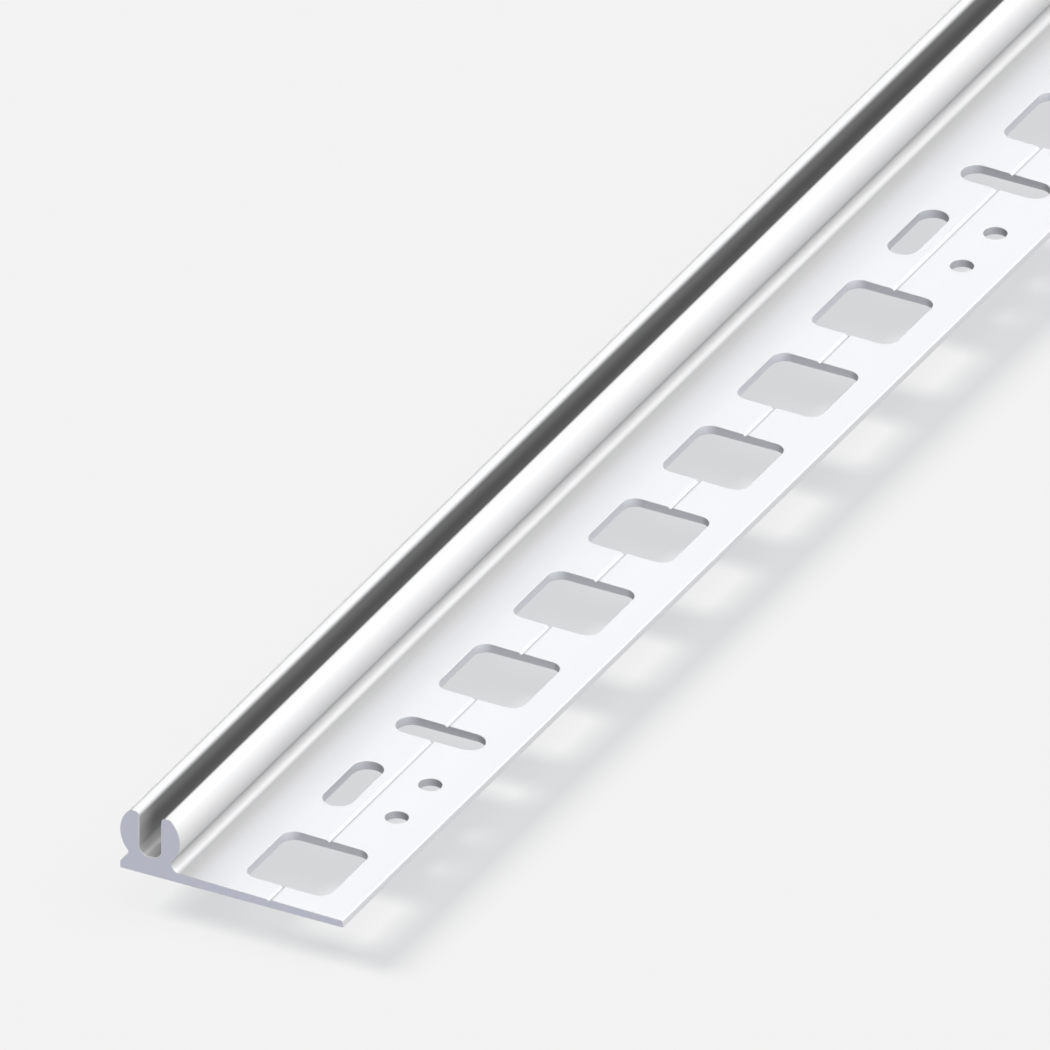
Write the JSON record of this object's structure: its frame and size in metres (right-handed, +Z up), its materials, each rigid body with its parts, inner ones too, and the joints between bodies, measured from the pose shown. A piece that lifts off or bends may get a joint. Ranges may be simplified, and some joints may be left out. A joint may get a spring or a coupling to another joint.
{
  "type": "perforated clip-rail mounting profile",
  "caption": "Straight length of white plastic base profile: a thin perforated fixing flange with a break-off line, and a split clip rail for a clip-on cover strip.",
  "frame": {"origin": "middle of the underside, half way along the stock and half way across its width", "axes": "+X along the stock, away from the end that the picture shows; +Y across it, from the flange's free edge to the clip rail; +Z up from the surface that it lies on"},
  "size_m": [1, 0.026, 0.0073],
  "materials": {
    "white_plastic": "satin rigid plastic"
  },
  "bodies": {
    "root": {"mounting_profile": "white_plastic"}
  },
  "joints": []
}
